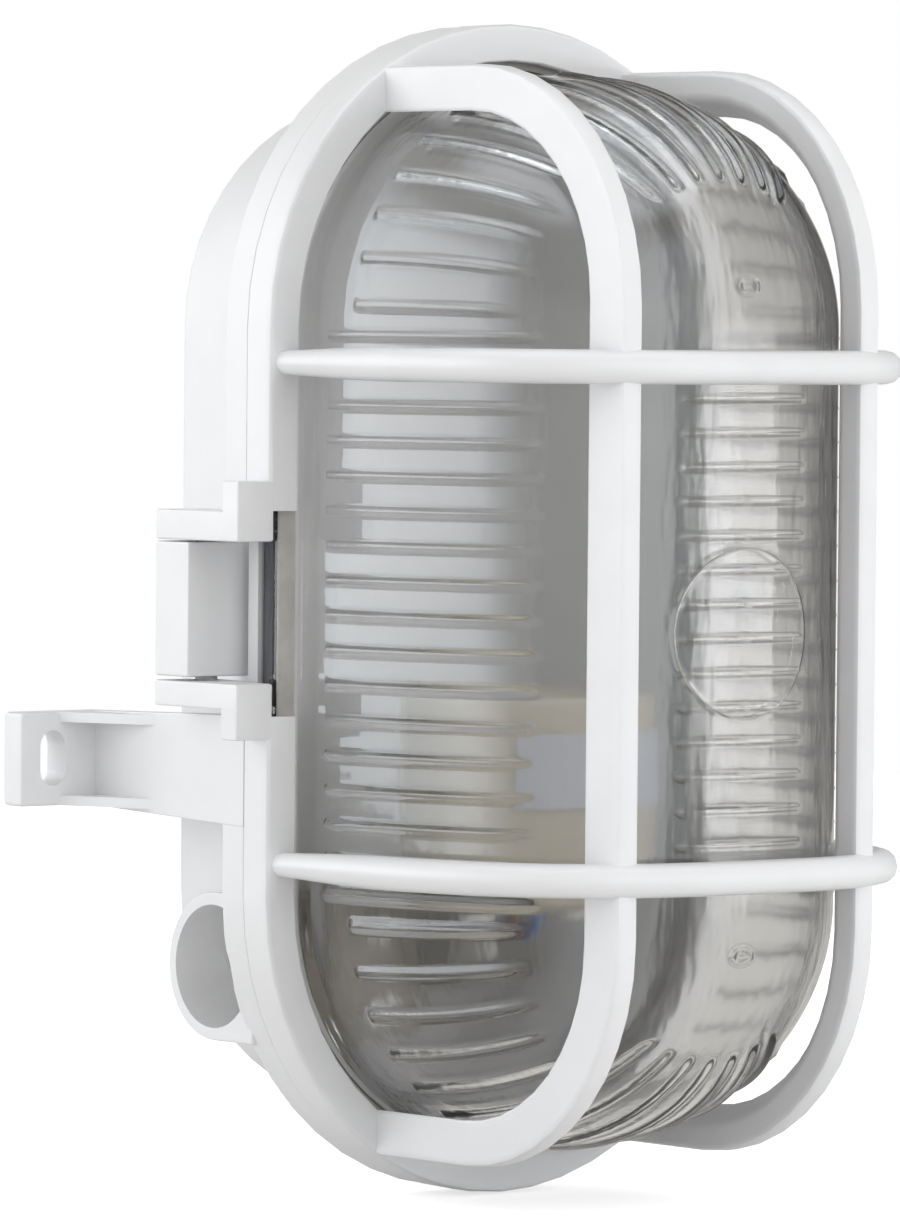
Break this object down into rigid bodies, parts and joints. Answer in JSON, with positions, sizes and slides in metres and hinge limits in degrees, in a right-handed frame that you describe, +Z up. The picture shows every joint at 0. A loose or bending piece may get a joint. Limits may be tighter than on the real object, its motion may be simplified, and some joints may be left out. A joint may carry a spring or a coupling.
{
  "type": "outdoor wall light",
  "caption": "Oval bulkhead wall light with a ribbed glass dome, a hinged guard cage, side wall feet and a side cable entry.",
  "frame": {"origin": "on the wall plane, at mid height and mid width of the light's oval body", "axes": "+Z up, -Y out of the wall towards the viewer, +X to the viewer's right"},
  "size_m": [0.129, 0.1167, 0.19],
  "materials": {
    "base_housing": "satin white moulded plastic",
    "guard_cage": "satin white moulded plastic",
    "glass_dome": "clear pressed glass with ribs",
    "dome_gasket": "dark grey rubber",
    "hinge_pin": "white plastic",
    "closing_screw": "zinc plated steel",
    "lampholder_body": "cream moulded insulator",
    "lampholder_shell": "nickelled brass",
    "centre_contact": "spring brass",
    "holder_label": "plain pale sticker",
    "lampholder_bracket": "zinc plated sheet steel",
    "holder_screw_left": "zinc plated steel",
    "holder_screw_right": "zinc plated steel",
    "bracket_screw_upper": "zinc plated steel",
    "bracket_screw_lower": "zinc plated steel",
    "terminal_block": "dark moulded insulator",
    "terminal_fixing_screw": "zinc plated steel",
    "terminal_tube_live": "brass",
    "terminal_tube_neutral": "brass",
    "terminal_screw_live_upper": "zinc plated steel",
    "terminal_screw_live_lower": "zinc plated steel",
    "terminal_screw_neutral_upper": "zinc plated steel",
    "terminal_screw_neutral_lower": "zinc plated steel",
    "lead_live": "brown insulation",
    "lead_neutral": "blue insulation"
  },
  "bodies": {
    "base": {"base_housing": "base_housing", "dome_gasket": "dome_gasket", "hinge_pin": "hinge_pin", "lampholder_body": "lampholder_body", "lampholder_shell": "lampholder_shell", "centre_contact": "centre_contact", "holder_label": "holder_label", "lampholder_bracket": "lampholder_bracket", "holder_screw_left": "holder_screw_left", "holder_screw_right": "holder_screw_right", "bracket_screw_upper": "bracket_screw_upper", "bracket_screw_lower": "bracket_screw_lower", "terminal_block": "terminal_block", "terminal_fixing_screw": "terminal_fixing_screw", "terminal_tube_live": "terminal_tube_live", "terminal_tube_neutral": "terminal_tube_neutral", "terminal_screw_live_upper": "terminal_screw_live_upper", "terminal_screw_live_lower": "terminal_screw_live_lower", "terminal_screw_neutral_upper": "terminal_screw_neutral_upper", "terminal_screw_neutral_lower": "terminal_screw_neutral_lower", "lead_live": "lead_live", "lead_neutral": "lead_neutral"},
    "guard": {"guard_cage": "guard_cage", "glass_dome": "glass_dome", "closing_screw": "closing_screw"}
  },
  "joints": [
    {"name": "cage_hinge", "type": "hinge", "parent": "base", "child": "guard", "pos_m": [-0.0488, -0.034, 0], "axis": [0, 0, -1], "range_deg": [0, 110]}
  ]
}
